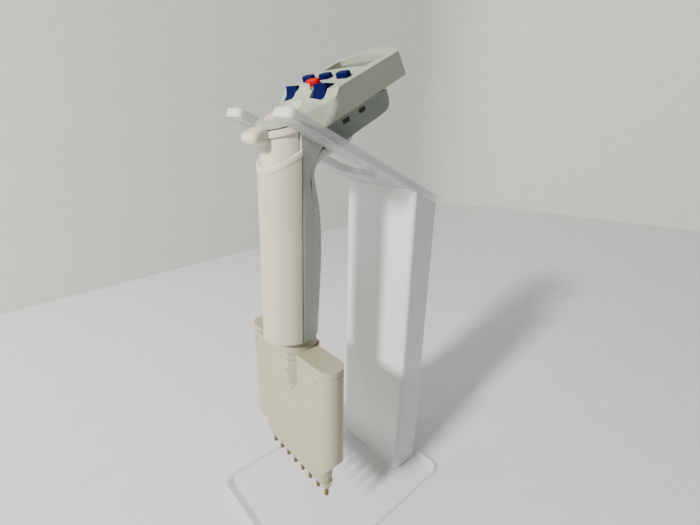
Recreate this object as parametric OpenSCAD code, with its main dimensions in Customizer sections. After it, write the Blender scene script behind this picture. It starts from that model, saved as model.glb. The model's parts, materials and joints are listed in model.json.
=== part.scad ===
// Eight-channel electronic pipette hanging in a bench stand.
// Millimetres. X is the stand's width, +Y its back, +Z up. The origin is the centre of the base's underside.

/* [Stand] */
// Width of the base plate
base_w = 105.6; // [90:0.1:130]
// Depth of the base plate
base_d = 138.6; // [136:0.1:160]
// Thickness of the base plate
base_t = 5; // [4:0.1:8]
// Corner radius of the base plate
base_r = 8; // [3:0.5:15]
// Width of the column and of the fork plate
column_w = 62.8; // [56:0.1:75]
// Depth of the column
column_d = 23.1; // [20:0.1:26]
// Height of the column's front edge above the underside of the base
column_top = 232; // [231:0.1:232.1]
// Distance of the column's front face behind the origin
column_y = 39.9; // [38:0.1:42]
// Thickness of the bent column sheet
sheet_t = 3; // [2:0.1:4]
// Slope of the fork plate, rising towards the front
fork_tilt = 24.4; // [24:0.1:24.8]
// Thickness of the fork plate
fork_t = 5; // [4:0.1:5.2]
// Distance of the fork tips in front of the origin
fork_reach = 51.2; // [48:0.1:56]
// Width of the fork slot
slot_w = 31.8; // [31.4:0.1:33]
// Distance of the closed end of the slot behind the origin
slot_end = 25; // [16:0.1:27]

/* [Handle] */
// Outer radius of the round front shell
handle_r = 15.5; // [15.3:0.1:15.6]
// Wall thickness of the handle shells
shell_t = 1.8; // [1.4:0.1:1.8]
// Forward lean of the handle shells
handle_lean = 1.6; // [1.4:0.1:1.8]
// Height of the handle's lower edge
handle_bottom = 146.5; // [146.2:0.1:147.5]
// Width of the neck that stands in the fork slot
neck_w = 29.2; // [28.4:0.1:30]

/* [Head] */
// Slope of the head, rising towards the back
head_tilt = 26.1; // [26:0.1:26.2]
// Width of the head
head_w = 49; // [48.8:0.1:50]
// Depth of the head's side walls, square to its top
head_h = 13.2; // [13.1:0.1:13.3]
// Wall thickness of the head
head_wall = 2; // [1.6:0.1:2.2]
// Width of the battery compartment under the head
bay_w = 31; // [30:0.1:31.4]
// Travel of the keys
key_travel = 1.2; // [0.8:0.1:1.2]

/* [Ejector] */
// Radius of the sliding sleeve
sleeve_r = 13.2; // [13:0.1:13.2]
// Radius of the round thumb button
button_r = 10.1; // [9.8:0.1:10.1]
// Travel of the ejector
eject_travel = 8; // [6:0.5:8]

/* [Multi-channel lower part] */
// Number of channels
channels = 8; // [8]
// Distance between channels
pitch = 9; // [9]
// Half length of the housing
body_half = 43.7; // [43.2:0.1:45]
// Half depth of the housing
body_r = 8.2; // [8.1:0.1:8.6]
// Height of the housing's top face
body_top = 139.5; // [139:0.1:140]
// Height of the housing's lower edge
body_bottom = 63; // [62.5:0.1:63.5]
// Height of the ends of the tip cones
cone_end = 35.1; // [34.8:0.1:36]
// Radius of the tip cones
cone_r = 1.5; // [1.4:0.1:1.7]
// Stroke of the pistons
stroke = 16; // [10:1:16]

/* [Hidden] */
$fn = 48;
slack = 0.05;               // radial running fit
gap = 0.35;                 // clearance between moving mouldings
eps = 0.5;                  // overshoot of a cutting tool
big = 200;                  // size of a half-space tool

// handle
grip_levels = [-50, -30, -12, 4, 20, 28, 36, 42, 47, 50.5, 53, 55.4, 57.5, 60, 63, 66.5, 70];
grip_top = 92;

// axes
drive_y = -31.7;            // axis of the motor, swivel and housing
grip_y = -33.2;             // axis of the sleeve, button and tower
lean_y = -34.35;            // handle axis at half height
lean_z = 196.5;             // height of that point
head_y = -20;               // origin of the head frame, where its flat top begins
head_z = 285.8;

// head frame
crown = 0.6;                // rise of the head's top across its width
deck_n = -2.4;              // saddle surface below the flat top
back_u = 60.5;              // end of the head on the centre line
back_r = 35;                // radius of the arched end
back_flare = 1.8;           // the end leans out towards the bottom
bay_top = -16.5;
bay_bottom = -28.5;
bay_front = -8;
bay_split = 36;             // where the battery cover starts
bay_end = 44.6;
contact_u = [6.5, 19.5];     // the two contact bars
contact_w = 5;
recess_n = -3.4;            // floor of the display recess
glass_t = 1;
board_n = -7.3;             // top of the circuit board
mat_n = -6.2;               // top of the key mat
stem_n = mat_n + key_travel + 0.2;   // lower ends of the keys

// ejector
tower_r = 14.5;
slit_tilt = 16;             // slope of the slit between tower and sleeve
slit_y = -45.9;
slit_z = 266.6;
slit_h = 0.7;
cap_t = 3.2;
sleeve_t = 1.6;
sleeve_bottom = 226;
rod_y = -42;
rod_r = 1;
rod_bottom = 150.6;
spring_h = 31.6;            // between the centres of its end turns

// drive
motor_r = 8.8;
motor_h = 40;
deck_z = 192;               // top of the motor deck
deck_t = 4;
deck_screw_x = 7.6;
motor_top = deck_z + motor_h;
screw_r = 2.55;
screw_bottom = 158;
bearing_r = 6;
push_r = 3.5;
nut_r = 4.6;
nut_top = 170;
nut_bottom = 141;
spigot_r = 9;
spigot_top = 153;
spigot_bottom = 128;

// lower part
wall = 1.6;
groove = 0.4;               // open joint under the cap
screw_x = [-33.5, 33.5];     // housing screws
screw_z = 129;
cap_bottom = 135.8;
boss_half = 14;             // boss that carries the swivel
boss_depth = 12.2;
boss_bottom = 118;
collar_top = 146;
collar_r = 12.8;
collar_foot_r = 14.4;
ring_in = spigot_r + 0.3;
ring_out = 11.4;
ring_top = 150.5;
ring_bottom = 144.4;
pull_x = 9.1;
pull_y = 5.4;
pull_r = 0.8;
bar_z = 100;
bar_t = 6;
bar_half = 40;
guide_x = 38.3;
guide_r = 1.5;
piston_r = 1.5;
piston_bottom = 68;
block_bottom = 64;
block_top = 86;
flange_z = 72;              // flange of the block
flange_t = 6;
seal_h = 2;
seal_r = 2.7;
cone_neck_z = 43;
stem_r = 2.3;
comb_top = body_bottom - gap;
comb_bottom = 43.5;

keys = [[-15, 17], [0, 17.3], [15, 17]];   // select keys, x and u
reset_key_u = 8;
reset_key_top = 3.6;
key_w = 9.5;
key_d = 4.8;
key_top = 3;
start_key_x = 12.5;
start_key_u = 2.7;
start_w = 9.9;
start_d = 11.4;
start_top = 3.1;

channel_x = [for (i = [0:channels - 1]) (i - (channels - 1) / 2) * pitch];

// ---- frames and tools ----

// the fork plate's frame: y runs down the slope to the back, z is square to the plate
module on_fork() {
    translate([0, column_y, column_top]) rotate([-fork_tilt, 0, 0]) children();
}

// the head's frame: y runs up the slope to the back, z is square to the flat top
module on_head() {
    translate([0, head_y, head_z]) rotate([head_tilt, 0, 0]) children();
}

// the handle shells' frame, with z along the leaning handle
module on_handle() {
    translate([0, lean_y, lean_z]) rotate([-handle_lean, 0, 0]) children();
}

// the frame of the slit under the tower
module on_slit() {
    translate([0, slit_y, slit_z]) rotate([slit_tilt, 0, 0]) children();
}

// place y and height z of a point given as [u, n] in the head's frame
function head_point(u, n) = [
    head_y + u * cos(head_tilt) - n * sin(head_tilt),
    head_z + u * sin(head_tilt) + n * cos(head_tilt)
];

// block centred in x
module slab(w, y0, y1, z0, z1) {
    translate([-w / 2, y0, z0]) cube([w, y1 - y0, z1 - z0]);
}

// outline of y and z points drawn out along x, centred
module across(w, points) {
    rotate([90, 0, 90]) translate([0, 0, -w / 2]) linear_extrude(w) polygon(points);
}

// plan with semicircular ends
module stadium(half, r) {
    square([2 * (half - r), 2 * r], center = true);
    for (side = [-1, 1]) translate([side * (half - r), 0]) circle(r, $fn = 64);
}

// key outline with round ends, long in x
module pill(w, d) {
    square([w - d, d], center = true);
    for (side = [-1, 1]) translate([side * (w - d) / 2, 0]) circle(d / 2);
}

module rounded_rect(w, d, r) {
    square([w - 2 * r, d], center = true);
    square([w, d - 2 * r], center = true);
    for (sx = [-1, 1], sy = [-1, 1]) translate([sx * (w / 2 - r), sy * (d / 2 - r)]) circle(r);
}

// solid through a stack of rings that have the same number of points
module loft(rings) {
    n = len(rings[0]);
    last = len(rings) - 1;
    points = [for (ring = rings) each ring];
    sides = [for (k = [0:last - 1], i = [0:n - 1])
        [k * n + i, (k + 1) * n + i, (k + 1) * n + (i + 1) % n, k * n + (i + 1) % n]];
    ends = [[for (i = [0:n - 1]) i], [for (i = [n - 1:-1:0]) last * n + i]];
    polyhedron(points, concat(sides, ends), convexity = 6);
}

// round wire along a helix about z
module coil_spring(r, wire, turns, height) {
    steps = turns * 14;
    ring = [for (k = [0:5]) k * 60];
    loft([for (s = [0:steps])
        let (t = s * 360 / 14, z = height * s / steps)
        [for (a = ring) [(r + wire * cos(a)) * cos(t), (r + wire * cos(a)) * sin(t), z + wire * sin(a)]]]);
}

// ---- stand ----

module base_plate() {
    color("azure", 0.5) linear_extrude(base_t) rounded_rect(base_w, base_d, base_r);
}

// bent sheet: a front panel and two side panels, open at the back
module column() {
    bend_r = sheet_t;
    inner_w = column_w - 2 * sheet_t;
    color("whitesmoke") difference() {
        translate([0, column_y, base_t]) linear_extrude(column_top - base_t) difference() {
            union() {
                translate([-column_w / 2, bend_r]) square([column_w, column_d - bend_r]);
                translate([bend_r - column_w / 2, 0]) square([column_w - 2 * bend_r, bend_r]);
                for (side = [-1, 1]) translate([side * (column_w / 2 - bend_r), bend_r]) circle(bend_r);
            }
            translate([-inner_w / 2, sheet_t]) square([inner_w, column_d]);
        }
        on_fork() slab(big, -big, big, 0, big);
    }
}

module fork_plate() {
    tip = -(fork_reach + column_y) / cos(fork_tilt);
    back = column_d / cos(fork_tilt);
    slot_back = (slot_end - column_y) / cos(fork_tilt);
    arm_w = (column_w - slot_w) / 2;
    tip_r = 3;
    slot_r = 7;
    color("azure", 0.5) on_fork() linear_extrude(fork_t) difference() {
        translate([-column_w / 2, tip]) square([column_w, back - tip]);
        translate([-slot_w / 2, tip - eps]) square([slot_w, slot_back - slot_r - tip + eps]);
        translate([slot_r - slot_w / 2, tip]) square([slot_w - 2 * slot_r, slot_back - tip]);
        for (side = [-1, 1]) translate([side * (slot_w / 2 - slot_r), slot_back - slot_r]) circle(slot_r);
        for (side = [-1, 1], edge = [-1, 1])
            translate([side * (column_w - arm_w) / 2, tip]) arm_corner(edge, arm_w, tip_r);
    }
}

// waste outside the round corner of a fork arm
module arm_corner(edge, arm_w, r) {
    translate([edge * (arm_w / 2 - r), r]) difference() {
        translate([edge > 0 ? 0 : -r - eps, -r - eps]) square(r + eps);
        circle(r);
    }
}

// ---- handle ----

// half width and depth of the grip behind the seam, against height along the handle; its top sweeps
// back as a hook for the finger
function grip_half(z) = lookup(z, [[40, handle_r], [50, neck_w / 2]]);
function grip_depth(z) = lookup(z, [
    [-46, 19.6], [-30, 20.6], [-12, 21.5], [4, 21.9], [20, 21], [28, 20], [36, 18.2], [42, 16.6], [47, 15.8],
    [50.5, 16.4], [53, 18.3], [55.4, 21.5], [57.5, 26], [60, 33], [63, 40], [66.5, 45.5], [70, 46.5]
]);

// half-elliptical plan of the grip
function grip_ring(a, b, z) = [for (i = [0:24]) [a * cos(7.5 * i), b * sin(7.5 * i), z]];
// the same plan drawn past the seam, as a cutting tool
function grip_cut(a, b, z) = concat([[a, -eps, z]], grip_ring(a, b, z), [[-a, -eps, z]]);

module front_shell() {
    rim_tilt = 32;
    rim_z = 52;
    low = handle_bottom - lean_z;
    color("linen") on_handle() difference() {
        translate([0, 0, low]) cylinder(r = handle_r, h = rim_z + 12 - low, $fn = 96);
        translate([0, 0, low - eps]) cylinder(r = handle_r - shell_t, h = 130, $fn = 96);
        translate([-big / 2, 0, -big / 2]) cube(big);
        translate([0, -handle_r, rim_z]) rotate([rim_tilt, 0, 0]) slab(big, -big / 2, big / 2, 0, big);
    }
}

// undersides of the head and of the battery bay, which the neck grows up to
under_head = [
    [grip_y - 2, 271.4], head_point(-14, -head_h), head_point(bay_front, -head_h), head_point(bay_front, bay_bottom),
    head_point(60, bay_bottom), [60, 330], [grip_y - 2, 330]
];

module rear_shell() {
    floor_t = 1.6;
    color("gainsboro") difference() {
        on_handle() loft([for (z = concat(grip_levels, [grip_top]))
            grip_ring(grip_half(z), grip_depth(z), z)]);
        on_handle() loft([for (z = concat([-56], grip_levels, [grip_top + 2]))
            grip_cut(grip_half(z) - shell_t, grip_depth(z - floor_t) - shell_t, z)]);
        across(big, under_head);
    }
}

// ---- head ----

// right flank of the head at the level flank_n, beside the thumb deck; it leans out towards the bottom
flank_n = -4;
flank_lean = 33;
head_flank = [[30, 28], [30, 13.5], [25.4, 3.5], [22.6, -1.6], [20.6, -5], [19.2, -9], [18.4, -13.5], [16.4, -17.6],
    [14.4, -20], [14.4, -26]];

module flank_cut(side, d) {
    translate([0, 0, flank_n]) rotate([0, -side * flank_lean, 0]) translate([0, 0, -40]) linear_extrude(80)
        polygon(concat([[side * 60, -30], [side * 60, 30]],
            [for (p = head_flank) [side * (p[0] * cos(flank_lean) - d), p[1]]]));
}

// plan of the head, shrunk by d, with its arched end and its slightly crowned top
module head_block(d, n0, n1) {
    crown_r = head_w * head_w / (8 * crown);
    intersection() {
        slab(head_w - 2 * d, -24, 70, n0, n1);
        union() {
            translate([0, back_u - back_r, -head_h - 1])
                cylinder(r1 = back_r + back_flare - d, r2 = back_r - d, h = head_h + 3, $fn = 128);
            difference() {
                slab(head_w - 2 * d, -24, 26, n0, n1);
                for (side = [-1, 1]) flank_cut(side, d);
            }
        }
        translate([0, 90, crown - crown_r]) rotate([90, 0, 0]) cylinder(r = crown_r, h = 140, $fn = 512);
    }
}

// crowned deck for the thumb that sweeps up to the head's top
module saddle_cut() {
    sweep_r = 12.2;
    sweep_u = -8;
    deck_crown_r = 95;
    half = 30;
    translate([0, sweep_u, deck_n]) rotate([90, 0, 0]) linear_extrude(30) difference() {
        translate([-half, -8]) square([2 * half, 40]);
        translate([0, -deck_crown_r]) circle(deck_crown_r, $fn = 360);
    }
    translate([0, sweep_u, deck_n + sweep_r]) rotate([0, 90, 0]) rotate_extrude($fn = 96) difference() {
        translate([0, -half]) square([30, 2 * half]);
        translate([sweep_r + deck_crown_r, 0]) circle(deck_crown_r, $fn = 360);
    }
}

// round post standing on the sleeve's axis
module grip_post(r, z0, z1) {
    translate([0, grip_y, z0]) cylinder(r = r, h = z1 - z0, $fn = 96);
}

// straight opening for a key
module key_hole(x, u, w, d) {
    translate([x, u, -8]) linear_extrude(20) pill(w + 2 * gap, d + 2 * gap);
}

// plan of a start key, grown by d
module start_plan(side, d) {
    translate([side * start_key_x, start_key_u]) rounded_rect(start_w + 2 * d, start_d + 2 * d, 1.4 + d);
}

module head_case() {
    front = [[-20.6, -5.5], [-18.4, deck_n], [-18.2, 5], [70, 5], [70, -head_h], [-14, -head_h]];
    recess_w = 37;
    recess_u = 30.5;
    recess_r = 50;
    recess_end = 49.7;
    view_w = 31;
    // inside of the head: from, to and top
    rooms = [[-17, 70, -6], [4, 70, recess_n - 1], [4, recess_u - head_wall, -1.6]];
    color("whitesmoke") difference() {
        union() {
            difference() {
                on_head() difference() {
                    intersection() {
                        head_block(0, -head_h, 5);
                        across(head_w + 2, front);
                    }
                    for (room = rooms) intersection() {
                        head_block(head_wall, -head_h - eps, room[2]);
                        slab(big, room[0], room[1], -big, big);
                    }
                    intersection() {
                        translate([0, recess_end - recess_r, recess_n]) cylinder(r = recess_r, h = 10, $fn = 128);
                        slab(recess_w, recess_u, 70, recess_n, 10);
                    }
                    slab(view_w, 33.5, 45, -10, 10);
                }
                on_fork() slab(big, -big, big, -big, fork_t + gap);
            }
            difference() {
                grip_post(tower_r, 255, 290);
                on_slit() slab(big, -big, big, -big, slit_h);
            }
        }
        on_head() saddle_cut();
        grip_post(button_r + gap, 250, 300);
        on_head() for (key = keys) key_hole(key[0], key[1], key_w, key_d);
        on_head() key_hole(0, reset_key_u, key_w, key_d);
        on_head() translate([0, 0, -8]) linear_extrude(20) for (side = [-1, 1]) start_plan(side, gap);
    }
}

// hollow box under the head that holds the batteries, with a narrower block up to the head
module battery_bay() {
    pocket_n = [-20.8, -18.2];
    color("gainsboro") on_head() difference() {
        union() {
            slab(bay_w, bay_front, bay_split, bay_bottom, bay_top);
            slab(bay_w - 5, bay_front + 1, bay_split, bay_top - 1, -head_h);
        }
        slab(bay_w - 2 * shell_t - 1.6, bay_front + shell_t, bay_split + eps, bay_bottom + shell_t, bay_top - shell_t);
        slab(bay_w - 10, bay_front + 4, bay_split - 3, bay_bottom + shell_t, 0);
        slab(18, bay_front + 2, 12, bay_bottom - eps, bay_bottom + 3);
        for (u = contact_u) slab(big, u, u + contact_w, pocket_n[0], pocket_n[1]);
    }
}

// dark contact bars let into both sides of the battery bay
module charge_contacts() {
    depth = 1.4;
    color("black") on_head() for (u = contact_u, side = [-1, 1])
        translate([side * (bay_w / 2 + 0.1 - depth / 2), u, -20.8]) translate([-depth / 2, 0.1, 0.1])
            cube([depth, contact_w - 0.2, 2.4]);
}

module battery_cover() {
    start = bay_split + gap;
    end_r = 6;
    outline = concat(
        [[start, bay_top], [bay_end, bay_top - 0.8]],
        [for (a = [0:-15:-90]) [bay_end - end_r + end_r * cos(a), bay_bottom + end_r + end_r * sin(a)]],
        [[start, bay_bottom]]);
    color("gainsboro") on_head() difference() {
        across(bay_w, outline);
        slab(bay_w - 2 * shell_t, start - eps, bay_end - 3.4, bay_bottom + shell_t, bay_top - shell_t);
    }
}

module battery_pack() {
    cell_r = 3.1;
    color("steelblue") on_head() for (x = [-7, 0, 7])
        translate([x, -3, bay_bottom + shell_t + cell_r + 0.4]) rotate([-90, 0, 0]) cylinder(r = cell_r, h = 36);
}

module display_window() {
    color("lightslategray") on_head() intersection() {
        slab(34, 32, 47.5, recess_n, recess_n + glass_t);
        translate([0, 49 - 50, recess_n - 1]) cylinder(r = 49, h = 4, $fn = 128);
    }
}

module display_module() {
    color("darkseagreen") on_head() slab(30, 33, 45.5, board_n + 0.1, recess_n - 2.2);
}

module circuit_board() {
    color("seagreen") difference() {
        on_head() intersection() {
            slab(40, -7, 50, board_n - 1.6, board_n);
            head_block(head_wall + 1, -20, 5);
        }
        grip_post(tower_r + gap, 230, 300);
    }
}

// rubber sheet with a dome under each key
module key_mat() {
    color("dimgray") difference() {
        on_head() intersection() {
            slab(40, -7.5, 22, mat_n - 1, mat_n);
            head_block(head_wall + gap, -20, 5);
        }
        grip_post(tower_r + gap, 230, 300);
    }
}

// straight key with a round-ended plan
module key(x, u, w, d, top) {
    translate([x, u, stem_n]) linear_extrude(top - stem_n) pill(w, d);
}

module select_key(i) {
    color("navy") on_head() key(keys[i][0], keys[i][1], key_w, key_d, key_top);
}

module reset_key() {
    color("red") on_head() key(0, reset_key_u, key_w, key_d, reset_key_top);
}

// large thumb key: a hollow face that leans back to a ridge, and a back that slopes down to the deck
module start_key(side) {
    face_r = 12.2;
    ridge_u = 2.4;
    back_slope = 24;
    color("navy") on_head() difference() {
        translate([0, 0, stem_n]) linear_extrude(start_top - stem_n) start_plan(side, 0);
        translate([-big / 2, -9.8, 6.1]) rotate([0, 90, 0]) cylinder(r = face_r, h = big, $fn = 96);
        translate([0, ridge_u, start_top]) rotate([-back_slope, 0, 0]) slab(big, 0, 20, 0, 20);
    }
}

// ---- ejector ----

// round button whose top lies in the saddle; its front half stands on the sleeve's cap
module ejector_button() {
    color("linen") difference() {
        grip_post(button_r, 264, 290);
        on_head() saddle_cut();
        intersection() {
            on_slit() slab(big, -big, big, -big, 0);
            slab(big, -big, grip_y, 0, 400);
        }
    }
}

// half tube inside the front shell, closed at the top by a half-round cap
module ejector_sleeve() {
    lug_w = 6;
    color("linen") difference() {
        union() {
            difference() {
                grip_post(sleeve_r, sleeve_bottom, 290);
                grip_post(sleeve_r - sleeve_t, sleeve_bottom - 1, 290);
                on_slit() slab(big, -big, big, -cap_t, big);
            }
            intersection() {
                grip_post(tower_r, 255, 290);
                on_slit() slab(big, -big, big, -cap_t, 0);
            }
            intersection() {
                grip_post(sleeve_r - sleeve_t / 2, sleeve_bottom, sleeve_bottom + 4);
                slab(lug_w, -60, rod_y + 1.2, sleeve_bottom, sleeve_bottom + 4);
            }
        }
        slab(big, grip_y, big, 0, 400);
    }
}

// tongue for the thumb in front of the sleeve
module ejector_paddle() {
    half = 7;
    nose_r = 3.4;
    root_z = [260, 268.4];
    color("linen") difference() {
        hull() {
            slab(2 * half - 2, -49, -45, root_z[0] + 0.8, root_z[1] - 0.8);
            slab(2 * half - 5, -49, -45, root_z[0], root_z[1]);
            for (side = [-1, 1]) translate([side * (half - nose_r), -52.4, 263.4]) sphere(nose_r, $fn = 24);
        }
        grip_post(tower_r + 0.02, 250, slit_z - 0.6);
        grip_post(tower_r + gap, slit_z - 0.8, 280);
    }
}

module ejector_rod() {
    color("silver") translate([0, rod_y, rod_bottom]) cylinder(r = rod_r, h = sleeve_bottom - rod_bottom);
}

// spring between the motor and the sleeve's cap
module ejector_spring() {
    wire_r = 0.6;
    color("silver") translate([0, grip_y, motor_top + wire_r + 0.05]) coil_spring(5.6, wire_r, 7, spring_h);
}

// ---- drive ----

module motor() {
    flat = 2;
    color("dimgray") difference() {
        translate([0, drive_y, deck_z]) cylinder(r = motor_r, h = motor_h);
        translate([0, drive_y, deck_z - eps]) cylinder(r = screw_r + slack, h = 10 + eps);
        for (side = [-1, 1]) translate([side * (motor_r - flat + big / 2), drive_y, deck_z + motor_h / 2])
            cube([big, big, motor_h - 6], center = true);
    }
}

module motor_deck() {
    color("darkgray") difference() {
        union() {
            translate([0, drive_y, deck_z - deck_t]) cylinder(r = 12.4, h = deck_t);
            slab(26, drive_y - 2, drive_y + 2, deck_z - deck_t, deck_z);
        }
        translate([0, drive_y, deck_z - deck_t - eps]) cylinder(r = bearing_r, h = deck_t + 2 * eps);
        translate([0, rod_y, deck_z - deck_t - eps]) cylinder(r = rod_r + gap, h = deck_t + 2 * eps);
        for (side = [-1, 1]) translate([side * deck_screw_x, drive_y, 0]) cylinder(r = 0.8, h = 300);
    }
}

// pan-head screws that come up through the deck into the motor's flange
module deck_screws() {
    color("silver") for (side = [-1, 1]) translate([side * deck_screw_x, drive_y, 0]) {
        translate([0, 0, deck_z - deck_t - 1.2]) cylinder(r = 1.5, h = 1.2);
        translate([0, 0, deck_z - deck_t]) cylinder(r = 0.8, h = deck_t);
    }
}

module spindle_bearing() {
    color("silver") translate([0, drive_y, deck_z - deck_t]) difference() {
        cylinder(r = bearing_r, h = deck_t);
        translate([0, 0, -eps]) cylinder(r = screw_r + slack, h = deck_t + 2 * eps);
    }
}

module spindle() {
    color("lightgray") translate([0, drive_y, screw_bottom]) cylinder(r = screw_r, h = deck_z + 8 - screw_bottom);
}

// nut on the spindle with the rod that pushes the pistons
module push_rod() {
    color("ivory") translate([0, drive_y, 0]) difference() {
        union() {
            translate([0, 0, nut_bottom]) cylinder(r = nut_r, h = nut_top - nut_bottom);
            translate([0, 0, bar_z + bar_t + 0.1]) cylinder(r = push_r, h = nut_bottom - bar_z - bar_t);
        }
        translate([0, 0, screw_bottom - stroke - 1]) cylinder(r = screw_r + slack, h = 100);
    }
}

// hollow journal under the handle, on which the lower part turns
module swivel_spigot() {
    flange_r = 13;
    snap_h = 2.3;
    snap_r = 9.5;
    bush_h = 5;
    color("lightgray") difference() {
        union() {
            translate([0, drive_y, spigot_bottom]) cylinder(r = spigot_r, h = spigot_top - spigot_bottom);
            translate([0, drive_y, spigot_bottom - snap_h + 1]) cylinder(r = snap_r, h = snap_h - 0.2);
            grip_post(flange_r, spigot_top - 0.6, spigot_top + 2);
        }
        translate([0, drive_y, spigot_bottom - 5]) cylinder(r = push_r + slack, h = 60);
        translate([0, drive_y, spigot_bottom + bush_h]) cylinder(r = nut_r + gap, h = 60);
        translate([0, rod_y, spigot_top - 2]) cylinder(r = rod_r + gap, h = 5);
    }
}

// ---- lower part ----

module on_body() {
    translate([0, drive_y, 0]) children();
}

// outer or inner form of the housing: a flat body with round ends and the boss round the swivel
module body_form(d, z0, z1) {
    translate([0, 0, z0]) linear_extrude(z1 - z0) stadium(body_half - d, body_r - d);
    intersection() {
        slab(2 * (boss_half - d), d - boss_depth, boss_depth - d, max(z0, boss_bottom + d), z1);
        cylinder(r = collar_foot_r + 1.5 - d, h = 300, $fn = 96);
    }
}

// waste below the sloping lower corners of the housing, or of its inside when d is not 0
module lower_corners(d) {
    corner_w = 6.5;
    corner_h = 8.5;
    for (side = [-1, 1]) mirror([side < 0 ? 1 : 0, 0, 0])
        translate([body_half - d, 0, body_bottom]) rotate([90, 0, 0]) linear_extrude(40, center = true)
            polygon([[-corner_w, 0], [0, corner_h], [4, corner_h + 5], [4, -1], [-corner_w, -1]]);
}

module housing_shell() {
    on_body() difference() {
        body_form(0, body_bottom, cap_bottom - groove);
        lower_corners(0);
        difference() {
            body_form(wall, body_bottom - eps, cap_bottom + eps);
            lower_corners(wall * 1.25);
        }
        for (x = screw_x) translate([x, 0, screw_z]) rotate([90, 0, 0]) {
            cylinder(r = 1, h = 20, center = true);
            translate([0, 0, body_r - 1]) cylinder(r = 1.9, h = 5);
        }
    }
}

module housing_front() {
    color("antiquewhite") intersection() {
        housing_shell();
        slab(big, -big, drive_y, 0, 300);
    }
}

module housing_rear() {
    color("antiquewhite") intersection() {
        housing_shell();
        slab(big, drive_y, big, 0, 300);
    }
}

module housing_screws() {
    color("gray") on_body() for (x = screw_x) translate([x, 0, screw_z]) rotate([90, 0, 0]) {
        translate([0, 0, -body_r + 0.6]) cylinder(r = 0.95, h = 2 * body_r - 1.8);
        translate([0, 0, body_r - 1]) cylinder(r = 1.6, h = 0.8);
    }
}

// top plate, swivel bush and the collar that hides the ejector ring
module housing_cap() {
    bush_r = 12;
    color("antiquewhite") on_body() difference() {
        union() {
            body_form(0, cap_bottom, body_top);
            translate([0, 0, body_top]) cylinder(r1 = collar_foot_r, r2 = collar_r, h = collar_top - body_top, $fn = 96);
            intersection() {
                translate([0, 0, spigot_bottom + 1.2]) cylinder(r = bush_r, h = cap_bottom - spigot_bottom);
                slab(big, wall - boss_depth + gap, boss_depth - wall - gap, 0, 300);
            }
        }
        translate([0, 0, spigot_bottom - 9]) cylinder(r = spigot_r + slack, h = 60, $fn = 96);
        translate([0, 0, ring_bottom - eject_travel - 0.4]) cylinder(r = ring_out + 0.3, h = 60, $fn = 96);
        for (sx = [-1, 1], sy = [-1, 1])
            translate([sx * pull_x, sy * pull_y, 100]) cylinder(r = pull_r + 0.3, h = 60);
        slab(big, -big, big, 0, spigot_bottom + 1.2);
    }
}

// block with one cylinder per channel, on a flange that fills the housing
module cylinder_block() {
    notch_w = 2 * (pull_r + gap);
    color("ivory") on_body() difference() {
        union() {
            translate([0, 0, flange_z]) linear_extrude(flange_t) stadium(body_half - wall - 0.7, body_r - wall - 0.2);
            slab(71, -4.2, 4.2, block_bottom, block_top);
        }
        for (x = channel_x) translate([x, 0, 0]) {
            translate([0, 0, block_bottom + 3]) cylinder(r = piston_r + slack, h = 60);
            translate([0, 0, block_bottom - eps]) cylinder(r = 0.6, h = 10);
            translate([0, 0, block_top - seal_h]) cylinder(r = seal_r, h = 10);
        }
        for (sx = [-1, 1], sy = [-1, 1]) translate([sx * pull_x - notch_w / 2, sy > 0 ? 4.3 : -14.3, 0])
            cube([notch_w, 10, 300]);
    }
}

module piston_seals() {
    color("black") on_body() for (x = channel_x) translate([x, 0, block_top - seal_h]) difference() {
        cylinder(r = seal_r, h = seal_h);
        translate([0, 0, -eps]) cylinder(r = piston_r + slack, h = seal_h + 2 * eps);
    }
}

module guide_rods() {
    color("silver") on_body() for (side = [-1, 1])
        translate([side * guide_x, 0, flange_z + flange_t]) cylinder(r = guide_r, h = 52);
}

// hollow cone that takes one pipette tip
module tip_cone(i) {
    lead = 1;
    color("darkgoldenrod") on_body() translate([channel_x[i - 1], 0, 0]) difference() {
        union() {
            translate([0, 0, cone_neck_z]) cylinder(r = stem_r, h = block_bottom - cone_neck_z);
            translate([0, 0, cone_end + lead]) cylinder(r = cone_r, h = cone_neck_z - cone_end - lead);
            translate([0, 0, cone_end]) cylinder(r1 = cone_r - 0.3, r2 = cone_r, h = lead);
        }
        translate([0, 0, cone_end - eps]) cylinder(r = 0.6, h = 60);
    }
}

module piston_bar() {
    color("silver") on_body() difference() {
        slab(2 * bar_half, -3.6, 3.6, bar_z, bar_z + bar_t);
        for (side = [-1, 1]) translate([side * guide_x, 0, bar_z - eps])
            cylinder(r = guide_r + slack, h = bar_t + 2 * eps);
    }
}

module piston(i) {
    color("gainsboro") on_body() translate([channel_x[i - 1], 0, piston_bottom])
        cylinder(r = piston_r, h = bar_z - piston_bottom);
}

// skirt that slides down over the cones and pushes the tips off
module ejector_comb() {
    skirt_half = 35.2;
    color("antiquewhite") on_body() difference() {
        union() {
            hull() {
                for (side = [-1, 1]) {
                    translate([side * (skirt_half - 8), 0, comb_top - 1]) cylinder(r = 8, h = 1, $fn = 32);
                    translate([side * (skirt_half - 5.4), 0, 47]) cylinder(r = 4.4, h = 1, $fn = 32);
                }
            }
            for (x = channel_x) translate([x, 0, comb_bottom]) cylinder(r1 = 2.9, r2 = 4.2, h = 4.5);
        }
        for (x = channel_x) translate([x, 0, 0]) cylinder(r = stem_r + gap, h = 100);
    }
}

// ring round the spigot and the four rods that carry the comb
module comb_frame() {
    color("silver") on_body() {
        translate([0, 0, ring_bottom]) difference() {
            cylinder(r = ring_out, h = ring_top - ring_bottom, $fn = 96);
            translate([0, 0, -eps]) cylinder(r = ring_in, h = 20, $fn = 96);
        }
        for (sx = [-1, 1], sy = [-1, 1]) translate([sx * pull_x, sy * pull_y, comb_top])
            cylinder(r = pull_r, h = ring_bottom - comb_top);
    }
}

// ---- drawing ----

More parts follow.
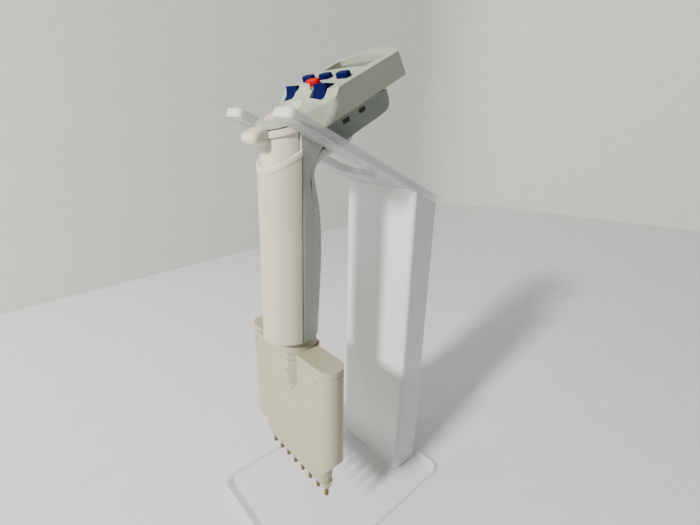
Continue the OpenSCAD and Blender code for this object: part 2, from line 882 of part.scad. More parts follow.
base_plate();
column();
fork_plate();
front_shell();
rear_shell();
head_case();
battery_bay();
display_window();
display_module();
circuit_board();
key_mat();
battery_pack();
charge_contacts();
battery_cover();
select_key(0);  // select_key_left
select_key(1);  // select_key_middle
select_key(2);  // select_key_right
reset_key();
start_key(-1);  // start_key_left
start_key(1);  // start_key_right
ejector_button();
ejector_sleeve();
ejector_paddle();
ejector_rod();
ejector_spring();
motor();
motor_deck();
deck_screws();
spindle_bearing();
spindle();
push_rod();
swivel_spigot();
housing_cap();
housing_front();
housing_rear();
housing_screws();
cylinder_block();
guide_rods();
tip_cone(1);  // tip_cone_1
tip_cone(2);  // tip_cone_2
tip_cone(3);  // tip_cone_3
tip_cone(4);  // tip_cone_4
tip_cone(5);  // tip_cone_5
tip_cone(6);  // tip_cone_6
tip_cone(7);  // tip_cone_7
tip_cone(8);  // tip_cone_8
piston_seals();
piston_bar();
piston(1);  // piston_1
piston(2);  // piston_2
piston(3);  // piston_3
piston(4);  // piston_4
piston(5);  // piston_5
piston(6);  // piston_6
piston(7);  // piston_7
piston(8);  // piston_8
ejector_comb();
comb_frame();
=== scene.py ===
"""Looks for a multichannel pipette that hangs by its neck in the fork of a clear bench stand.

Lengths are in metres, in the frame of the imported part: +X right, -Y front, +Z up.
Sizes given in millimetres are multiplied by MM.
"""
import json
import math

import bmesh
import bpy
from mathutils import Matrix, Vector
from mathutils.bvhtree import BVHTree


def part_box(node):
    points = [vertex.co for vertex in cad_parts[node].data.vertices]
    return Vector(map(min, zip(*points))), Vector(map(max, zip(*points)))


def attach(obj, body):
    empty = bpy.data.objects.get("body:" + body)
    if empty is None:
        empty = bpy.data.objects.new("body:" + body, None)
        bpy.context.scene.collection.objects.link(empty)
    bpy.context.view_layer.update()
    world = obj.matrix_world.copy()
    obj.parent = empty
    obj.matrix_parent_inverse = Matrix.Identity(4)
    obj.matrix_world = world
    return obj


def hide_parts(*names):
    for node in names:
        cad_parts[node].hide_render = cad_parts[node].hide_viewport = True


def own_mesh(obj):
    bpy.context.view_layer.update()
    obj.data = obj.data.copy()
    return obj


MM = 0.001
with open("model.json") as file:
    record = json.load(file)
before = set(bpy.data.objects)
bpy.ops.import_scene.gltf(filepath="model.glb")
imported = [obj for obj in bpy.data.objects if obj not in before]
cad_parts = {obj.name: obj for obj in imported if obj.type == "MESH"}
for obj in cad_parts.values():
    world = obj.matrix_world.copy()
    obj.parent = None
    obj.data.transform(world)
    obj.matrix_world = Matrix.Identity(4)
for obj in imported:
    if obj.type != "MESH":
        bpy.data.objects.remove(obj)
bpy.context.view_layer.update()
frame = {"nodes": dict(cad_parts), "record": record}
NODES = frame["nodes"]
BODY_OF = {node: body for body, nodes in frame["record"]["behaviour"]["bodies"].items() for node in nodes}


# ---- materials ----

def new_material(name):
    mat = bpy.data.materials.new(name)
    mat.use_nodes = True
    return mat, mat.node_tree.nodes, mat.node_tree.links, mat.node_tree.nodes["Principled BSDF"]


def add_noise(nodes, links, coords, size, detail=3.0, stretch=(1, 1, 1)):
    """Noise whose grains are about `size` metres across, longer along an axis whose stretch is above 1."""
    mapping = nodes.new("ShaderNodeMapping")
    mapping.inputs["Scale"].default_value = [1 / s for s in stretch]
    links.new(coords, mapping.inputs["Vector"])
    grain = nodes.new("ShaderNodeTexNoise")
    grain.inputs["Scale"].default_value = 0.5 / size
    grain.inputs["Detail"].default_value = detail
    links.new(mapping.outputs["Vector"], grain.inputs["Vector"])
    return grain.outputs["Fac"]


def remap(nodes, links, value, low, high, start=0.3, end=0.7):
    node = nodes.new("ShaderNodeMapRange")
    node.inputs["From Min"].default_value = start
    node.inputs["From Max"].default_value = end
    node.inputs["To Min"].default_value = low
    node.inputs["To Max"].default_value = high
    links.new(value, node.inputs["Value"])
    return node.outputs["Result"]


def blend_colours(nodes, links, factor, a, b):
    mix = nodes.new("ShaderNodeMix")
    mix.data_type = "RGBA"
    mix.inputs["A"].default_value = (*a, 1)
    mix.inputs["B"].default_value = (*b, 1)
    links.new(factor, mix.inputs["Factor"])
    return mix.outputs["Result"]


def shade(colour, factor):
    return tuple(min(1.0, c * factor) for c in colour)


def moulded(name, colour, roughness, grain=0.35 * MM, relief=0.02 * MM, mottle=0.04, soil=None, specular=0.5,
            coat=0.0, metallic=0.0, stretch=(1, 1, 1)):
    """Solid plastic or metal: fine surface grain, slow changes of tone, and soil that gathers in patches."""
    mat, nodes, links, bsdf = new_material(name)
    coords = nodes.new("ShaderNodeTexCoord").outputs["Object"]
    fine = add_noise(nodes, links, coords, grain, 2.0, stretch)
    broad = add_noise(nodes, links, coords, 14 * MM, 4.0, stretch)
    tone = remap(nodes, links, broad, 0.0, 1.0)
    colours = blend_colours(nodes, links, tone, shade(colour, 1 - mottle), shade(colour, 1 + mottle))
    if soil:
        soil_colour, soil_amount = soil
        patches = add_noise(nodes, links, coords, 5 * MM, 8.0)
        mix = nodes.new("ShaderNodeMix")
        mix.data_type = "RGBA"
        mix.inputs["B"].default_value = (*soil_colour, 1)
        links.new(colours, mix.inputs["A"])
        links.new(remap(nodes, links, patches, 0.0, soil_amount, 0.55, 0.80), mix.inputs["Factor"])
        colours = mix.outputs["Result"]
    links.new(colours, bsdf.inputs["Base Color"])
    rough = add_noise(nodes, links, coords, 3 * MM, 5.0, stretch)
    links.new(remap(nodes, links, rough, roughness - 0.06, roughness + 0.06), bsdf.inputs["Roughness"])
    bump = nodes.new("ShaderNodeBump")
    bump.inputs["Strength"].default_value = 1.0
    bump.inputs["Distance"].default_value = relief
    links.new(fine, bump.inputs["Height"])
    links.new(bump.outputs["Normal"], bsdf.inputs["Normal"])
    bsdf.inputs["Specular IOR Level"].default_value = specular
    bsdf.inputs["Coat Weight"].default_value = coat
    bsdf.inputs["Coat Roughness"].default_value = 0.10
    bsdf.inputs["Metallic"].default_value = metallic
    return mat


ACRYLIC_IOR = 1.49


def see_through(name, body, edge, roughness, cover, edge_cover):
    """Clear sheet that lies flat: its level faces hardly show, and its upright cut edges carry a painted
    highlight, lighter and less clear.
    """
    mat, nodes, links, bsdf = new_material(name)
    texture = nodes.new("ShaderNodeTexCoord")
    haze = add_noise(nodes, links, texture.outputs["Object"], 9 * MM, 6.0)
    links.new(remap(nodes, links, haze, roughness * 0.6, roughness * 1.6), bsdf.inputs["Roughness"])
    split = nodes.new("ShaderNodeSeparateXYZ")
    links.new(texture.outputs["Normal"], split.inputs["Vector"])
    flat = nodes.new("ShaderNodeMath")
    flat.operation = "ABSOLUTE"
    links.new(split.outputs["Z"], flat.inputs[0])
    side = remap(nodes, links, flat.outputs["Value"], low=1.0, high=0.0, start=0.25, end=0.80)
    # painted highlight: upright faces get the lighter edge colour and more cover
    links.new(blend_colours(nodes, links, side, body, edge), bsdf.inputs["Base Color"])
    links.new(remap(nodes, links, side, cover, edge_cover, start=0.0, end=1.0), bsdf.inputs["Alpha"])
    bsdf.inputs["IOR"].default_value = ACRYLIC_IOR
    return mat


def fork_sheet(name, tip, arm, roughness, fade):
    """Clear sheet with bright, solid front tips; across the depths in `fade` it turns to milky grey arms."""
    mat, nodes, links, bsdf = new_material(name)
    coords = nodes.new("ShaderNodeTexCoord").outputs["Object"]
    streaks = add_noise(nodes, links, coords, 3 * MM, 4.0, (1, 12, 4))
    links.new(remap(nodes, links, streaks, roughness * 0.5, roughness * 2.0), bsdf.inputs["Roughness"])
    split = nodes.new("ShaderNodeSeparateXYZ")
    links.new(coords, split.inputs["Vector"])
    along = remap(nodes, links, split.outputs["Y"], 0.0, 1.0, *fade)
    links.new(blend_colours(nodes, links, along, tip, arm), bsdf.inputs["Base Color"])
    cloud = remap(nodes, links, streaks, 0.42, 0.62)
    clear = nodes.new("ShaderNodeMix")
    clear.inputs["A"].default_value = 1.0
    links.new(along, clear.inputs["Factor"])
    links.new(cloud, clear.inputs["B"])
    links.new(clear.outputs["Result"], bsdf.inputs["Alpha"])
    bsdf.inputs["IOR"].default_value = ACRYLIC_IOR
    return mat


def clear_plastic(name, colour, roughness, ior, weight=1.0):
    """Clear or tinted plastic with faint haze and handling marks."""
    mat, nodes, links, bsdf = new_material(name)
    coords = nodes.new("ShaderNodeTexCoord").outputs["Object"]
    haze = add_noise(nodes, links, coords, 9 * MM, 6.0)
    links.new(remap(nodes, links, haze, roughness * 0.5, roughness * 1.8), bsdf.inputs["Roughness"])
    tone = remap(nodes, links, haze, 0.0, 1.0)
    links.new(blend_colours(nodes, links, tone, shade(colour, 0.985), colour), bsdf.inputs["Base Color"])
    bsdf.inputs["Transmission Weight"].default_value = weight
    bsdf.inputs["IOR"].default_value = ior
    return mat


WARM_DUST = (0.42, 0.38, 0.30)
GREY_DUST = (0.35, 0.36, 0.34)
MATERIALS = {
    "shell": moulded("shell_plastic", (0.545, 0.53, 0.405), 0.38, soil=(WARM_DUST, 0.10)),
    # lighter than the shell: painted highlight for the light that the rim bead and the grip's front edges
    # catch
    "lip": moulded("lip_painted_highlight", (0.66, 0.64, 0.52), 0.35, soil=(WARM_DUST, 0.08)),
    "grip": moulded("grip_plastic", (0.40, 0.445, 0.395), 0.48, soil=(GREY_DUST, 0.15)),
    "head": moulded("head_plastic", (0.37, 0.405, 0.325), 0.42, soil=(WARM_DUST, 0.10)),
    "bay": moulded("bay_plastic", (0.275, 0.315, 0.275), 0.45, soil=(GREY_DUST, 0.12)),
    "housing": moulded("housing_plastic", (0.405, 0.385, 0.265), 0.40, soil=(WARM_DUST, 0.35)),
    "ejector": moulded("ejector_plastic", (0.65, 0.62, 0.505), 0.34, soil=(WARM_DUST, 0.12)),
    "blue": moulded("key_blue", (0.0006, 0.0025, 0.060), 0.55, mottle=0.10, specular=0.06),
    "red": moulded("key_red", (0.52, 0.0005, 0.0002), 0.55, mottle=0.06, specular=0.05),
    # near-black painted shade for hollows: the sunk seat dishes and the line in the handle's seam
    "recess": moulded("painted_hollow_shade", (0.10, 0.095, 0.08), 0.60, mottle=0.2),
    "black": moulded("black_plastic", (0.012, 0.013, 0.014), 0.45),
    "rubber": moulded("rubber", (0.03, 0.03, 0.032), 0.70, relief=0.04 * MM),
    "column": moulded("column_white", (0.70, 0.71, 0.71), 0.16, grain=6 * MM, relief=0.05 * MM, mottle=0.015,
                      coat=0.4),
    "steel": moulded("ground_steel", (0.62, 0.63, 0.64), 0.30, metallic=1.0, stretch=(1, 1, 14), mottle=0.05),
    "bright_steel": moulded("bright_steel", (0.75, 0.75, 0.76), 0.14, metallic=1.0, stretch=(1, 1, 20),
                            mottle=0.04),
    "aluminium": moulded("aluminium", (0.76, 0.77, 0.78), 0.28, metallic=1.0, stretch=(14, 1, 1),
                         mottle=0.04),
    "motor": moulded("motor_case", (0.035, 0.036, 0.038), 0.36, metallic=0.6),
    "deck": moulded("grey_plastic", (0.36, 0.37, 0.38), 0.45),
    "ivory": moulded("ivory_plastic", (0.70, 0.67, 0.58), 0.35),
    "board": moulded("board_green", (0.01, 0.14, 0.05), 0.35, mottle=0.15, coat=0.3),
    "cells": moulded("cell_sleeve", (0.03, 0.10, 0.32), 0.30, coat=0.3),
    "display": moulded("display_glass", (0.20, 0.24, 0.17), 0.25, mottle=0.08, coat=0.5),
    "amber": clear_plastic("amber_plastic", (0.16, 0.095, 0.022), 0.28, 1.50, 0.2),
    "window": clear_plastic("window_plastic", (0.86, 0.89, 0.88), 0.05, ACRYLIC_IOR),
    # the second colour is the painted highlight on the base plate's upright cut edges
    "acrylic": see_through("clear_acrylic", (0.80, 0.81, 0.82), (0.92, 0.93, 0.94), 0.06, 0.012, 0.50),
    "fork": fork_sheet("fork_acrylic", (0.86, 0.86, 0.83), (0.60, 0.635, 0.63), 0.10, (-0.054, -0.043)),
}


def dress(obj, key):
    """Gives a piece or a CAD node one of the materials."""
    obj.data.materials.clear()
    obj.data.materials.append(MATERIALS[key])


# ---- pieces ----

def add_piece(name, mesh, material, body, replaced=()):
    obj = bpy.data.objects.new(name, mesh)
    bpy.context.scene.collection.objects.link(obj)
    dress(obj, material)
    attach(obj, body)
    if replaced:
        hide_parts(*replaced)
    return obj


def slot_of(node):
    return next(s["material_slot"] for s in frame["record"]["subparts"] if s["node"] == node)


def clean_copy(node):
    """The CAD node's mesh with its split corners joined and its flat areas made whole."""
    bm = bmesh.new()
    bm.from_mesh(NODES[node].data)
    bmesh.ops.remove_doubles(bm, verts=bm.verts, dist=0.002 * MM)
    bmesh.ops.dissolve_limit(bm, angle_limit=math.radians(0.6), verts=bm.verts, edges=bm.edges)
    return bm


def finish_mesh(mesh, sharp=35):
    for polygon in mesh.polygons:
        polygon.use_smooth = True
    mesh.set_sharp_from_angle(angle=math.radians(sharp))
    return mesh


def modified_mesh(obj):
    """A new mesh with the object's modifiers applied."""
    return bpy.data.meshes.new_from_object(obj.evaluated_get(bpy.context.evaluated_depsgraph_get()))


def face_outward(mesh):
    bm = bmesh.new()
    bm.from_mesh(mesh)
    bmesh.ops.recalc_face_normals(bm, faces=bm.faces)
    bm.to_mesh(mesh)
    bm.free()


def round_flank(bm, width):
    """Rounds the edge between each upright side of the head and the slanting flank in front of it."""
    def is_side(normal):
        return abs(normal.x) > 0.98

    def is_flank(normal):
        return 0.5 < abs(normal.x) < 0.95 and normal.y < -0.1

    edges = []
    for edge in bm.edges:
        if len(edge.link_faces) == 2:
            one, two = (face.normal for face in edge.link_faces)
            if (is_side(one) and is_flank(two)) or (is_side(two) and is_flank(one)):
                edges.append(edge)
    bmesh.ops.bevel(bm, geom=edges, offset=width, segments=6, profile=0.5, affect="EDGES",
                    clamp_overlap=False)


def soften(node, material, width, segments=3, angle=32, flank=0.0):
    """Replaces a CAD node with the same shape whose edges have the small radius of a moulding."""
    bm = clean_copy(node)
    if flank:
        round_flank(bm, flank)
    mesh = bpy.data.meshes.new(node + "_soft")
    bm.to_mesh(mesh)
    bm.free()
    obj = bpy.data.objects.new(node + "_raw", mesh)
    bpy.context.scene.collection.objects.link(obj)
    bevel = obj.modifiers.new("edges", "BEVEL")
    bevel.width = width
    bevel.segments = segments
    bevel.limit_method = "ANGLE"
    bevel.angle_limit = math.radians(angle)
    bevel.miter_outer = "MITER_ARC"
    obj.data = finish_mesh(modified_mesh(obj), 40)
    obj.modifiers.clear()
    obj.modifiers.new("flat_faces", "WEIGHTED_NORMAL").keep_sharp = True
    soft = modified_mesh(obj)
    bpy.data.objects.remove(obj)
    return add_piece(node + "_piece", soft, material, BODY_OF[node], [node])


def smooth_table(table, x):
    """A smooth curve through the points of a short table."""
    xs = [p[0] for p in table]
    i = max(0, min(len(table) - 2, sum(1 for v in xs if v <= x) - 1))
    p0, p1, p2, p3 = (table[max(0, min(len(table) - 1, k))] for k in (i - 1, i, i + 1, i + 2))
    t = max(0.0, min(1.0, (x - p1[0]) / (p2[0] - p1[0])))
    slope1 = (p2[1] - p0[1]) / max(p2[0] - p0[0], 1e-9) * (p2[0] - p1[0])
    slope2 = (p3[1] - p1[1]) / max(p3[0] - p1[0], 1e-9) * (p2[0] - p1[0])
    h00, h10 = 2 * t ** 3 - 3 * t ** 2 + 1, t ** 3 - 2 * t ** 2 + t
    h01, h11 = -2 * t ** 3 + 3 * t ** 2, t ** 3 - t ** 2
    return h00 * p1[1] + h10 * slope1 + h01 * p2[1] + h11 * slope2


def window(x, start, end, soft):
    """1 between start and end, falling smoothly to 0 over `soft` on each side."""
    def step(v):
        v = max(0.0, min(1.0, v))
        return v * v * (3 - 2 * v)
    return step((x - start) / soft) * step((end - x) / soft)


# ---- camera ----

CAMERA_PLACE = Vector((182.4, -151.4, 271.7)) * MM
CAMERA_HEADING = math.radians(47.6)
CAMERA_PITCH = math.radians(20.0)
CAMERA_ROLL = math.radians(-0.9)
SENSOR_WIDTH_MM = 36.0
LENS_MM = 19.92


def add_camera():
    data = bpy.data.cameras.new("camera")
    data.sensor_width = SENSOR_WIDTH_MM
    data.lens = LENS_MM
    data.clip_start = 0.01
    camera = bpy.data.objects.new("camera", data)
    bpy.context.scene.collection.objects.link(camera)
    forward = Vector((-math.sin(CAMERA_HEADING) * math.cos(CAMERA_PITCH),
                      math.cos(CAMERA_HEADING) * math.cos(CAMERA_PITCH), -math.sin(CAMERA_PITCH)))
    right = Vector((math.cos(CAMERA_HEADING), math.sin(CAMERA_HEADING), 0))
    up = right.cross(forward)
    turn = Matrix.Rotation(CAMERA_ROLL, 3, forward)
    right, up = turn @ right, turn @ up
    basis = Matrix((right, up, -forward)).transposed()
    camera.matrix_world = Matrix.Translation(CAMERA_PLACE) @ basis.to_4x4()
    bpy.context.scene.camera = camera


add_camera()


# ---- handle ----

# the handle shells lean forward about this point
LEAN = math.radians(1.6)
LEAN_Y, LEAN_Z = -34.35, 196.5
# half width and depth of the grip at heights along the handle, in mm
GRIP_HALF = [(-50, 15.5), (40, 15.5), (50, 14.6), (92, 14.6)]
GRIP_DEPTH = [(-46, 19.6), (-30, 20.6), (-12, 21.5), (4, 21.9), (20, 21), (28, 20), (36, 18.2),
              (42, 16.6), (47, 15.8), (50.5, 16.4), (53, 18.3), (55.4, 21.5), (57.5, 26), (60, 33),
              (63, 40), (66.5, 45.5), (70, 46.5), (92, 46.5)]
GRIP_LOW = -50.0
SHELL_T = 1.8
# front shell: its radius, and the slope of its upper edge
FRONT_RADIUS = 15.5
RIM_TILT = math.radians(32)
# head frame: its origin, slope and depth, and where the battery bay starts and ends in it
HEAD_Y, HEAD_Z = -20.0, 285.8
HEAD_TILT = math.radians(26.1)
HEAD_DEPTH = 13.2
BAY_FRONT, BAY_BOTTOM = -8.0, -28.5

# underside of the saddle that stands in front of the head
SADDLE_FRONT_Y, SADDLE_BACK_Y = -35.2, -27.5
SADDLE_Z, SADDLE_SLOPE = 271.4, 0.42
# finger ridges of the grip, and the groove along its seam
RIDGE_PITCH = 3.6
RIDGE_HEIGHT = 0.42
RIDGE_SLANT = 1.9
GROOVE_DEPTH = 0.9
GROOVE_ANGLE = math.radians(1.8)
SEAM_TOP = 61.0


def from_handle(x, y, z):
    """A point of the leaning handle's frame, in mm, as a point of the part's frame in metres."""
    return Vector((x, LEAN_Y + y * math.cos(LEAN) + z * math.sin(LEAN),
                   LEAN_Z - y * math.sin(LEAN) + z * math.cos(LEAN))) * MM


def from_head(x, u, n):
    """A point of the head's frame (mm; u up its slope, n out of its top) in the part's frame (metres)."""
    return Vector((x, HEAD_Y + u * math.cos(HEAD_TILT) - n * math.sin(HEAD_TILT),
                   HEAD_Z + u * math.sin(HEAD_TILT) + n * math.cos(HEAD_TILT))) * MM


def under_head(y):
    """Height, in mm, of the underside that the neck meets at depth y."""
    def level(n):
        return HEAD_Z + (y - HEAD_Y) * math.tan(HEAD_TILT) + n / math.cos(HEAD_TILT)
    bay_start = HEAD_Y + BAY_FRONT * math.cos(HEAD_TILT) - BAY_BOTTOM * math.sin(HEAD_TILT)
    if y > bay_start:
        return level(BAY_BOTTOM)
    if y < SADDLE_BACK_Y:
        return SADDLE_Z - (y - SADDLE_FRONT_Y) * SADDLE_SLOPE
    return level(-HEAD_DEPTH)




def grip_lift(angle, z):
    """How far, in mm, the grip stands out from its plain form: slanting finger ridges and a seam groove."""
    from_back = abs(angle - math.pi / 2)
    wave = 0.5 + 0.5 * math.sin(2 * math.pi * (z / RIDGE_PITCH + RIDGE_SLANT * from_back))
    band = window(math.sin(angle), 0.24, 1.5, 0.34) * window(z, -40, 48, 14)
    edge = max(0.0, 1 - min(angle, math.pi - angle) / GROOVE_ANGLE) * window(z, -60, SEAM_TOP, 1.5)
    return RIDGE_HEIGHT * (wave - 1) * band - GROOVE_DEPTH * edge


def build_grip():
    """Rear shell of the handle: a curved sheet from one seam round the back to the other."""
    rows = 340
    seam = [math.radians(a) for a in (0, 0.9, 1.8, 2.6)]
    round_back = [math.radians(4 + 172 * i / 96) for i in range(97)]
    angles = seam + round_back + [math.pi - a for a in reversed(seam)]
    columns = len(angles) - 1
    outer, inner = [], []
    for angle in angles:
        top_y = LEAN_Y + 1.9 + GRIP_DEPTH[-1][1] * math.sin(angle)
        top = (under_head(top_y) - LEAN_Z) / math.cos(LEAN)
        for i in range(rows + 1):
            z = GRIP_LOW + (top - GRIP_LOW) * i / rows
            half, depth = smooth_table(GRIP_HALF, z), smooth_table(GRIP_DEPTH, z)
            lift = grip_lift(angle, z)
            outer.append(from_handle((half + lift) * math.cos(angle), (depth + lift) * math.sin(angle), z))
            depth_in = smooth_table(GRIP_DEPTH, z - 1.6) - SHELL_T
            inner.append(from_handle((half - SHELL_T) * math.cos(angle), depth_in * math.sin(angle), z))
    count = len(outer)
    step = rows + 1
    faces = []
    for j in range(columns):
        for i in range(rows):
            a, b, c, d = j * step + i, (j + 1) * step + i, (j + 1) * step + i + 1, j * step + i + 1
            faces.append((a, b, c, d))
            faces.append((count + d, count + c, count + b, count + a))
        for i in (0, rows):
            a, b = j * step + i, (j + 1) * step + i
            faces.append((a, count + a, count + b, b) if i == 0 else (b, count + b, count + a, a))
    for j in (0, columns):
        for i in range(rows):
            a, b = j * step + i, j * step + i + 1
            faces.append((a, b, count + b, count + a) if j == 0 else (b, a, count + a, count + b))
    mesh = bpy.data.meshes.new("grip_shell")
    mesh.from_pydata(outer + inner, [], faces)
    mesh.update()
    finish_mesh(mesh)
    grip = add_piece("grip_shell", mesh, "grip", "pipette", ["rear_shell"])
    grip.data.materials.append(MATERIALS["lip"])
    # the last faces are the shell's two front edges, given the lighter lip colour as a painted highlight line
    for polygon in mesh.polygons[-2 * rows:]:
        polygon.material_index = 1


def build_rim_lip():
    """Rounded bead that runs round the front shell's slanting upper edge, in the lighter lip colour as a
    painted highlight.
    """
    low, high, proud, behind = 48.5, 51.9, 0.38, 1.7
    profile = []
    for k in range(13):
        t = math.pi * k / 12
        profile.append((proud * math.sin(t) ** 0.5, (low + high) / 2 - (high - low) / 2 * math.cos(t)))
    profile += [(-behind, high - 0.1), (-behind, low + 0.1)]
    steps, count = 80, len(profile)
    points = []
    for j in range(steps + 1):
        angle = -math.pi * j / steps
        rise = (FRONT_RADIUS * math.sin(angle) + FRONT_RADIUS) * math.tan(RIM_TILT)
        for out, z in profile:
            r = FRONT_RADIUS + out
            points.append(from_handle(r * math.cos(angle), min(-0.12, r * math.sin(angle)), z + rise))
    faces = [tuple(range(count)), tuple(reversed(range(steps * count, steps * count + count)))]
    for j in range(steps):
        for k in range(count):
            a, b = j * count + k, j * count + (k + 1) % count
            faces.append((a, a + count, b + count, b))
    mesh = bpy.data.meshes.new("rim_lip")
    mesh.from_pydata(points, [], faces)
    face_outward(mesh)
    add_piece("front_shell_lip", finish_mesh(mesh, 50), "lip", "pipette")


build_grip()
build_rim_lip()
soften("front_shell", "shell", 0.5 * MM)

# ---- stand ----

soften("base_plate", "acrylic", 0.35 * MM)
soften("fork_plate", "fork", 0.9 * MM, segments=4)
soften("column", "column", 0.3 * MM)

# ---- head ----

soften("head_case", "head", 0.45 * MM, flank=1.4 * MM)
soften("battery_bay", "bay", 0.5 * MM)
soften("battery_cover", "bay", 0.5 * MM)
soften("charge_contacts", "black", 0.1 * MM)
for key in ("select_key_left", "select_key_middle", "select_key_right", "start_key_left", "start_key_right"):
    soften(key, "blue", 0.9 * MM, segments=4)
soften("reset_key", "red", 0.9 * MM, segments=4)
soften("ejector_button", "ejector", 0.35 * MM)
soften("ejector_sleeve", "ejector", 0.25 * MM)
soften("ejector_paddle", "ejector", 0.5 * MM)

# ---- lower part ----

soften("housing_front", "housing", 0.5 * MM)
soften("housing_rear", "housing", 0.5 * MM)
soften("housing_cap", "housing", 0.5 * MM)
soften("ejector_comb", "housing", 0.25 * MM)
for channel in range(1, 9):
    soften(f"tip_cone_{channel}", "amber", 0.15 * MM)


# ---- small parts with their own shape ----

def tube(name, path, radius, sides=10):
    """A round wire that follows a path of points, closed at both ends."""
    mesh = bpy.data.meshes.new(name)
    points, faces = [], []
    for i, here in enumerate(path):
        along = (path[min(i + 1, len(path) - 1)] - path[max(i - 1, 0)]).normalized()
        aside = Vector((1, 0, 0)) if abs(along.z) > 0.9 else Vector((0, 0, 1))
        across = along.cross(aside).normalized()
        up = across.cross(along)
        for k in range(sides):
            turn = 2 * math.pi * k / sides
            points.append(here + (across * math.cos(turn) + up * math.sin(turn)) * radius)
    for i in range(len(path) - 1):
        for k in range(sides):
            a, b = i * sides + k, i * sides + (k + 1) % sides
            faces.append((a, b, b + sides, a + sides))
    faces += [tuple(reversed(range(sides))), tuple(range(len(points) - sides, len(points)))]
    mesh.from_pydata(points, [], faces)
    return finish_mesh(mesh, 60)


def build_spring():
    """Ejector spring, with closed turns at its ends."""
    low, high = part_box("ejector_spring")
    wire, turns, per_turn = 0.6 * MM, 9, 28
    radius = (high[0] - low[0]) / 2 - wire
    centre = Vector(((low[0] + high[0]) / 2, (low[1] + high[1]) / 2, 0))
    closed = 2.1 * wire
    travel = high[2] - low[2] - 2 * wire - 2 * closed
    path = []
    for i in range(turns * per_turn + 1):
        turn = i / per_turn
        z = low[2] + wire + closed * (min(turn, 1) + max(0, turn - turns + 1))
        z += travel * max(0.0, min(1.0, (turn - 1) / (turns - 2)))
        angle = 2 * math.pi * turn
        path.append(centre + Vector((radius * math.cos(angle), radius * math.sin(angle), z)))
    coil = add_piece("ejector_spring_coil", tube("ejector_spring_coil", path, wire), "bright_steel",
                     "pipette", ["ejector_spring"])
    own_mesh(coil)


def lathe(name, centre, profile, steps=28):
    """Closed solid turned about an axis that points to the front; the profile gives radius and height."""
    points, faces = [], []
    for radius, out in profile:
        for k in range(steps):
            turn = 2 * math.pi * k / steps
            points.append(centre + Vector((radius * math.cos(turn), -out, radius * math.sin(turn))) * MM)
    count = len(profile)
    for j in range(count):
        for k in range(steps):
            a, b = j * steps + k, j * steps + (k + 1) % steps
            c, d = (j + 1) % count * steps + (k + 1) % steps, (j + 1) % count * steps + k
            faces.append((a, b, c, d))
    mesh = bpy.data.meshes.new(name)
    mesh.from_pydata(points, [], faces)
    face_outward(mesh)
    return finish_mesh(mesh, 40)


def build_seats():
    """Three moulded rings on the housing's front, each round a sunk seat whose near-black dish is painted
    shade for the hollow.
    """
    body, slot = BODY_OF["housing_front"], slot_of("housing_front")
    panel_y, boss_y = -39.9, -43.9
    seats = {"upper": (-27.5, panel_y, 136.5, 1.8), "boss": (8.8, boss_y, 127.9, 0.9),
             "lower": (7.9, panel_y, 112.4, 0.9)}
    for name, (x, y, z, radius) in seats.items():
        centre = Vector((x, y, z)) * MM
        ring = [(radius, -0.5), (radius, 0.12), (radius * 0.92, 0.26), (radius * 0.78, 0.26),
                (radius * 0.7, 0.1), (radius * 0.7, -0.5)]
        dish = [(radius * 0.69, -0.5), (radius * 0.69, 0.1), (radius * 0.45, 0.03), (radius * 0.02, 0.02),
                (radius * 0.02, -0.5)]
        add_piece(f"seat_ring_{name}", lathe(f"seat_ring_{name}", centre, ring), "housing", body)
        # the dish's near-black colour is painted shade for the hollow of the seat
        add_piece(f"seat_dish_{name}", lathe(f"seat_dish_{name}", centre, dish), "recess", body)


def build_seam_shade_line():
    """Thin dark tube in the seam between the handle's shells, up both sides: painted shade for the shadow in
    the seam.
    """
    radius, out, back = 0.32 * MM, 15.2, 0.12
    for name, side in (("seam_shade_line_left", -1), ("seam_shade_line_right", 1)):
        path = [from_handle(side * out, back, z) for z in range(-49, 62, 5)]
        add_piece(name, tube(name, path, radius), "recess", "pipette")


def build_head_floor():
    """Plate that closes the head's underside, set a little way in from the lower edge of the head's walls."""
    mesh = NODES["head_case"].data
    walls = BVHTree.FromPolygons([v.co for v in mesh.vertices], [p.vertices for p in mesh.polygons])
    level, plate, play = -HEAD_DEPTH + 0.8, 1.6, 0.1
    start, step, far = -6.0, 0.5, 70.0

    def half_width(u):
        """Distance from the middle to the inside of the wall, in mm; None past the far wall."""
        first = from_head(0, start, level)
        to_far_wall = walls.ray_cast(first, from_head(0, u, level) - from_head(0, start, level + 0.001))[3]
        if to_far_wall is not None and to_far_wall < (u - start) * MM:
            return None
        to_side_wall = walls.ray_cast(from_head(0, u, level), Vector((1, 0, 0)))[3]
        return None if to_side_wall is None else to_side_wall / MM - play

    rows = []
    u = start
    while half_width(u) is not None and u < far:
        rows.append((u, half_width(u)))
        u += step
    points = [from_head(side * half, u, level) for u, half in rows for side in (-1, 1)]
    faces = [(2 * i, 2 * i + 1, 2 * i + 3, 2 * i + 2) for i in range(len(rows) - 1)]
    flat = bpy.data.meshes.new("head_floor")
    flat.from_pydata(points, [], faces)
    obj = bpy.data.objects.new("head_floor_raw", flat)
    bpy.context.scene.collection.objects.link(obj)
    solid = obj.modifiers.new("thickness", "SOLIDIFY")
    solid.thickness = plate * MM
    solid.offset = 1.0
    floor = modified_mesh(obj)
    bpy.data.objects.remove(obj)
    add_piece("head_floor", finish_mesh(floor), "bay", "pipette")


# painted shade: a dark line for the shadow in the handle's seam
build_seam_shade_line()
build_head_floor()
build_spring()
build_seats()

# ---- CAD nodes that keep their shape ----

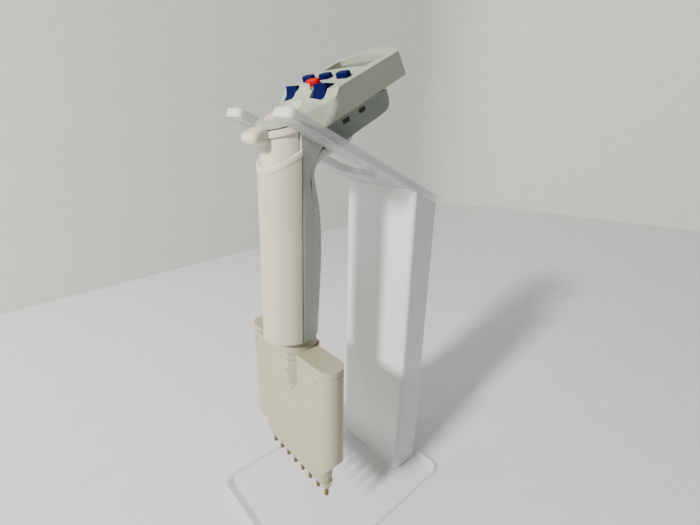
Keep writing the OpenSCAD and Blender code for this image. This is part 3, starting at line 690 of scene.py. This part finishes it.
KEPT = {
    "display_window": "window", "display_module": "display", "circuit_board": "board", "key_mat": "rubber",
    "battery_pack": "cells", "ejector_rod": "bright_steel", "motor": "motor",
    "motor_deck": "deck", "deck_screws": "steel", "spindle_bearing": "steel", "spindle": "bright_steel",
    "push_rod": "ivory", "swivel_spigot": "deck", "housing_screws": "housing", "cylinder_block": "ivory",
    "guide_rods": "bright_steel", "piston_seals": "rubber", "piston_bar": "aluminium", "comb_frame": "steel",
}
for node, material in KEPT.items():
    dress(NODES[node], material)
for channel in range(1, 9):
    dress(NODES[f"piston_{channel}"], "bright_steel")


# ---- surroundings ----

def add_backdrop():
    """White bench with a pale wall that turns a corner behind the stand."""
    bench_mat = moulded("bench", (0.80, 0.79, 0.80), 0.30, grain=2 * MM, relief=0.02 * MM, mottle=0.02)
    wall_mat = moulded("wall", (0.80, 0.82, 0.79), 0.80, grain=1 * MM, relief=0.05 * MM, mottle=0.015)
    bench = bpy.data.meshes.new("bench")
    reach, level = 3.0, -0.1 * MM
    corners = [(-reach, -reach), (reach, -reach), (reach, reach), (-reach, reach)]
    bench.from_pydata([(x, y, level) for x, y in corners], [], [(0, 1, 2, 3)])
    foot = [(-0.50, -0.60), (-0.543, -0.06), (-0.57, 0.20), (-0.63, 0.86), (-0.62, 0.98), (-0.56, 1.06),
            (-0.45, 1.13), (0.2, 1.30), (1.6, 1.60)]
    points = [(x, y, 0.0) for x, y in foot] + [(x, y, 1.6) for x, y in foot]
    faces = [(i, i + 1, i + 1 + len(foot), i + len(foot)) for i in range(len(foot) - 1)]
    wall = bpy.data.meshes.new("wall")
    wall.from_pydata(points, [], faces)
    for polygon in wall.polygons:
        polygon.use_smooth = True
    for mesh, mat in ((bench, bench_mat), (wall, wall_mat)):
        mesh.materials.append(mat)
        obj = bpy.data.objects.new(mesh.name, mesh)
        bpy.context.scene.collection.objects.link(obj)


def add_area(name, place, target, size, power, colour=(1, 1, 1)):
    data = bpy.data.lights.new(name, "AREA")
    data.shape = "DISK"
    data.size = size
    data.energy = power
    data.color = colour
    obj = bpy.data.objects.new(name, data)
    bpy.context.scene.collection.objects.link(obj)
    obj.location = place
    direction = Vector(target) - Vector(place)
    obj.rotation_euler = direction.to_track_quat("-Z", "Y").to_euler()


def add_lights():
    middle = (0, 0, 0.16)
    add_area("key", (0.15, -1.46, 1.12), middle, 0.22, 56, (1.0, 0.965, 0.90))
    add_area("left", (-0.43, -1.05, 0.75), middle, 0.5, 1.6, (0.94, 0.98, 1.0))
    add_area("top", (-0.25, 0.2, 1.5), middle, 1.0, 1.6)
    world = bpy.data.worlds.new("room")
    world.use_nodes = True
    background = world.node_tree.nodes["Background"]
    background.inputs["Color"].default_value = (0.74, 0.85, 1.0, 1)
    background.inputs["Strength"].default_value = 0.12
    bpy.context.scene.world = world


add_backdrop()
add_lights()
